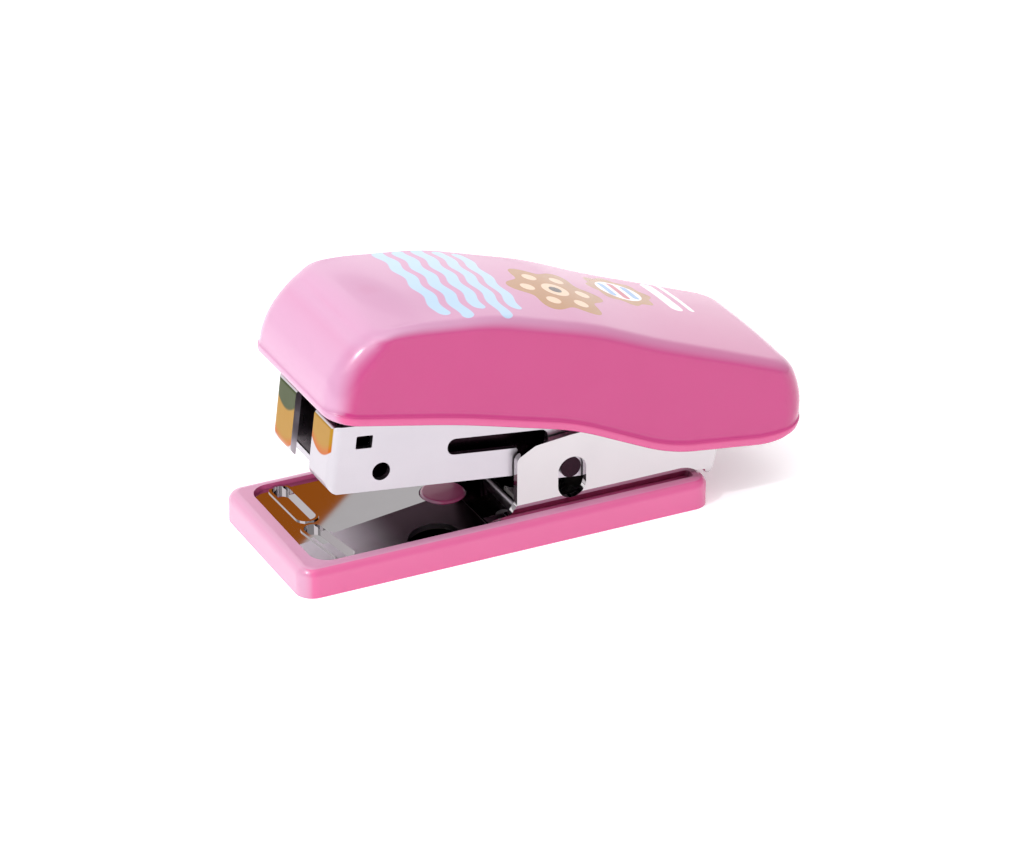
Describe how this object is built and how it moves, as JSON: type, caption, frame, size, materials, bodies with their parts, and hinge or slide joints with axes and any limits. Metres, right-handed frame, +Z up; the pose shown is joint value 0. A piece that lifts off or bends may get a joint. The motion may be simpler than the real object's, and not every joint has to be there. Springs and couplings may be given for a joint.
{
  "type": "mini stapler",
  "caption": "Mini desk stapler: a moulded base with a steel anvil plate, a tilting pressed-steel magazine and a hinged moulded cover that carries the driver blade.",
  "frame": {"origin": "centre of the underside of the base, on the surface it stands on", "axes": "+X from the nose to the hinge end, +Y across, +Z up"},
  "size_m": [0.0605, 0.0224, 0.0291],
  "materials": {
    "pink_abs": "gloss moulded",
    "chromed_plate": "polished chrome",
    "nickel_steel": "bright nickel",
    "hardened_steel": "dark hardened",
    "spring_steel": "spring temper"
  },
  "bodies": {
    "base": {"base_tray": "pink_abs", "base_plate": "chromed_plate", "hinge_pin": "nickel_steel", "return_spring": "spring_steel", "return_spring_rivet": "nickel_steel"},
    "magazine": {"magazine_channel": "nickel_steel", "staple_rail": "nickel_steel", "rail_rivets": "nickel_steel", "guide_rod": "nickel_steel", "guide_rod_clip": "nickel_steel", "pusher_spring": "spring_steel", "stop_studs": "nickel_steel", "hinge_sleeve": "nickel_steel"},
    "pusher": {"pusher": "nickel_steel"},
    "cover": {"top_cover": "pink_abs", "driver_carrier": "nickel_steel", "driver_blade": "hardened_steel", "driver_rivets": "nickel_steel", "cover_spring": "spring_steel", "cover_spring_rivets": "nickel_steel"}
  },
  "joints": [
    {"name": "magazine_hinge", "type": "hinge", "parent": "base", "child": "magazine", "pos_m": [0.0226, 0, 0.009], "axis": [0, 1, 0], "range_deg": [-9.3, 0], "stiffness_Nm_per_rad": 0.3, "springref_deg": 11.46, "deforming": ["return_spring"]},
    {"name": "cover_hinge", "type": "hinge", "parent": "magazine", "child": "cover", "pos_m": [0.0226, 0, 0.009], "axis": [0, 1, 0], "range_deg": [-9.3, 36], "stiffness_Nm_per_rad": 0.15, "springref_deg": 0.86, "deforming": ["cover_spring"]},
    {"name": "pusher_slide", "type": "slide", "parent": "magazine", "child": "pusher", "axis": [0.9928, 0, -0.1201], "range_m": [0, 0.0215], "stiffness_N_per_m": 120, "springref_m": -0.02, "deforming": ["pusher_spring"]}
  ]
}
